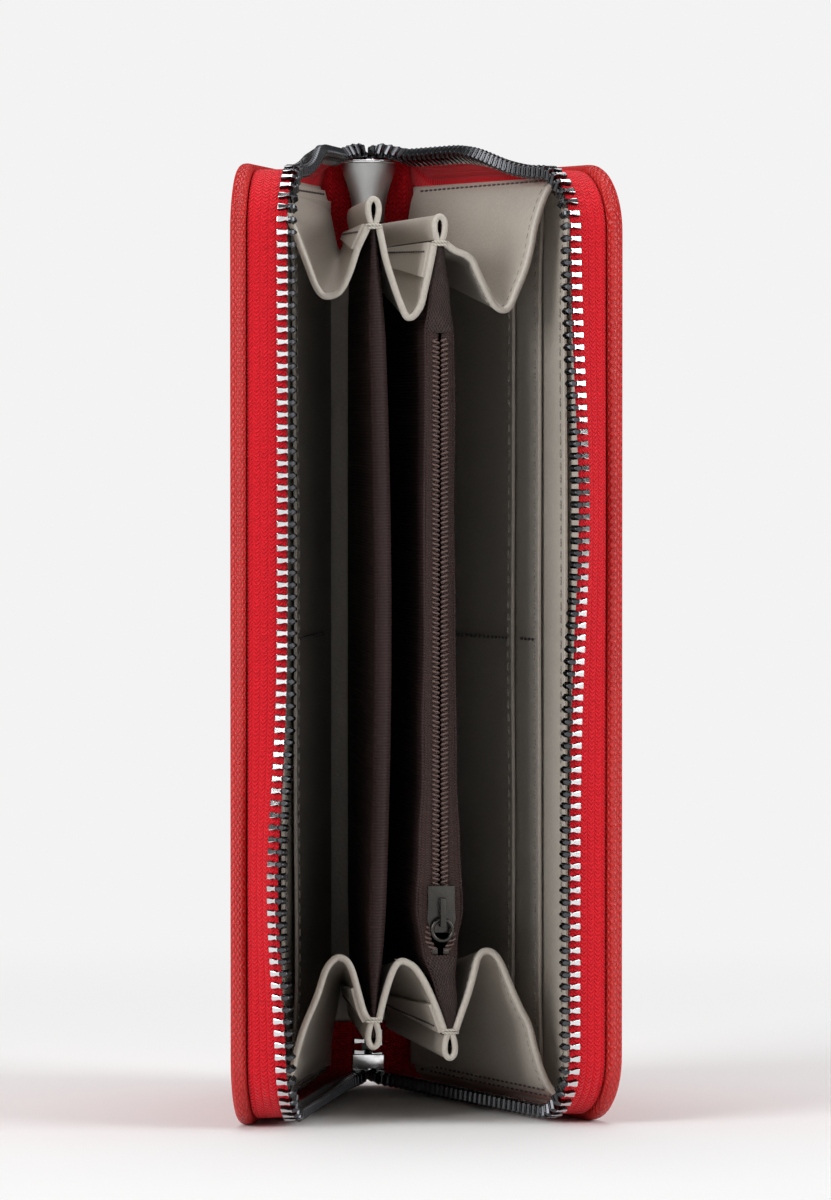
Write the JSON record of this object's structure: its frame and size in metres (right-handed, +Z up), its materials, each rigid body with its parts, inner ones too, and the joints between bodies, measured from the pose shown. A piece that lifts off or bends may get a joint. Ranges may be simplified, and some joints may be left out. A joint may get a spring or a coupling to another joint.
{
  "type": "zip-around wallet",
  "caption": "Zip-around long wallet standing open on one end, with accordion gussets, card slots, a divider and a zipped coin pocket.",
  "frame": {"origin": "centre of the footprint of the wallet's bounding box, on the surface it stands on", "axes": "+Z up along the long side of the covers as it stands on one short end, -Y out of the mouth, +X towards the back cover"},
  "size_m": [0.0806, 0.1091, 0.2023],
  "materials": {
    "red_leather": "saffiano embossed",
    "taupe_leather": "smooth, matt",
    "board": "fibre board",
    "red_tape": "woven zip tape",
    "teeth_metal": "polished",
    "slider_metal": "satin",
    "brown_cloth": "ribbed lining",
    "brown_nylon": "coil",
    "gunmetal": "satin dark"
  },
  "bodies": {
    "spine": {"spine_leather": "red_leather", "spine_board": "board", "spine_lining": "taupe_leather", "zip_tail_tape_top": "red_tape", "zip_tail_tape_bottom": "red_tape", "zip_tail_teeth_top": "teeth_metal", "zip_tail_teeth_bottom": "teeth_metal", "zip_bottom_stop": "teeth_metal"},
    "front_cover": {"front_cover_leather": "red_leather", "front_cover_board": "board", "front_cover_lining": "taupe_leather", "front_zip_tape": "red_tape", "front_zip_teeth": "teeth_metal", "front_zip_tape_ends": "red_tape", "front_zip_teeth_ends": "teeth_metal", "front_card_pocket_1": "taupe_leather", "front_card_pocket_2": "taupe_leather", "front_card_pocket_3": "taupe_leather", "gusset_top_front": "taupe_leather", "gusset_bottom_front": "taupe_leather"},
    "back_cover": {"back_cover_leather": "red_leather", "back_cover_board": "board", "back_cover_lining": "taupe_leather", "back_zip_tape": "red_tape", "back_zip_teeth": "teeth_metal", "back_zip_tape_ends": "red_tape", "back_zip_teeth_ends": "teeth_metal", "back_card_pocket_1": "taupe_leather", "back_card_pocket_2": "taupe_leather", "back_card_pocket_3": "taupe_leather", "gusset_top_back": "taupe_leather", "gusset_bottom_back": "taupe_leather"},
    "bill_divider": {"bill_divider": "brown_cloth", "bill_divider_binding_top": "taupe_leather", "bill_divider_binding_bottom": "taupe_leather"},
    "coin_pocket": {"coin_pocket_front_wall": "brown_cloth", "coin_pocket_back_wall": "brown_cloth", "coin_pocket_binding_top": "taupe_leather", "coin_pocket_binding_bottom": "taupe_leather", "coin_zip_tape_front": "brown_cloth", "coin_zip_tape_back": "brown_cloth", "coin_zip_coil_front": "brown_nylon", "coin_zip_coil_back": "brown_nylon", "coin_zip_patch_top": "brown_cloth", "coin_zip_patch_bottom": "brown_cloth", "coin_zip_stop": "gunmetal", "gusset_top_middle": "taupe_leather", "gusset_bottom_middle": "taupe_leather"},
    "zip_slider": {"zip_slider_body": "slider_metal", "zip_slider_crown": "slider_metal"},
    "zip_pull": {"zip_pull_tab": "slider_metal"},
    "coin_slider": {"coin_slider_body": "gunmetal", "coin_slider_crown": "gunmetal"},
    "coin_ring": {"coin_pull_ring": "gunmetal"}
  },
  "joints": [
    {"name": "front_cover_open", "type": "hinge", "parent": "spine", "child": "front_cover", "pos_m": [-0.012, 0.04966, 0], "axis": [0, 0, -1], "range_deg": [-15.5, 11], "deforming": ["front_zip_tape_ends", "front_zip_teeth_ends", "gusset_top_front", "gusset_bottom_front"]},
    {"name": "back_cover_open", "type": "hinge", "parent": "spine", "child": "back_cover", "pos_m": [0.012, 0.04966, 0], "axis": [0, 0, 1], "range_deg": [-15.5, 11], "deforming": ["back_zip_tape_ends", "back_zip_teeth_ends", "gusset_top_back", "gusset_bottom_back"]},
    {"name": "bill_divider_swing", "type": "hinge", "parent": "spine", "child": "bill_divider", "pos_m": [-0.0037, 0.04106, 0], "axis": [0, 0, -1], "range_deg": [-4.5, 3.3]},
    {"name": "coin_pocket_swing", "type": "hinge", "parent": "spine", "child": "coin_pocket", "pos_m": [0.002, 0.04106, 0], "axis": [0, 0, 1], "range_deg": [-1.5, 1.1], "deforming": ["gusset_top_middle", "gusset_bottom_middle"]},
    {"name": "zip_slider_travel", "type": "slide", "parent": "spine", "child": "zip_slider", "axis": [0, 0, 1], "range_m": [0, 0.004]},
    {"name": "zip_pull_swing", "type": "hinge", "parent": "zip_slider", "child": "zip_pull", "pos_m": [0, 0.05226, 0.1945], "axis": [1, 0, 0], "range_deg": [0, 150]},
    {"name": "coin_slider_travel", "type": "slide", "parent": "coin_pocket", "child": "coin_slider", "axis": [0, 0, 1], "range_m": [0, 0.11]},
    {"name": "coin_ring_swing", "type": "hinge", "parent": "coin_slider", "child": "coin_ring", "pos_m": [0.00398, -0.03986, 0.0417], "axis": [-0.9997, -0.0244, 0], "range_deg": [0, 150]}
  ],
  "couplings": [
    {"joint": "bill_divider_swing", "follows": "front_cover_open", "ratio": 0.284},
    {"joint": "coin_pocket_swing", "follows": "back_cover_open", "ratio": 0.09}
  ]
}
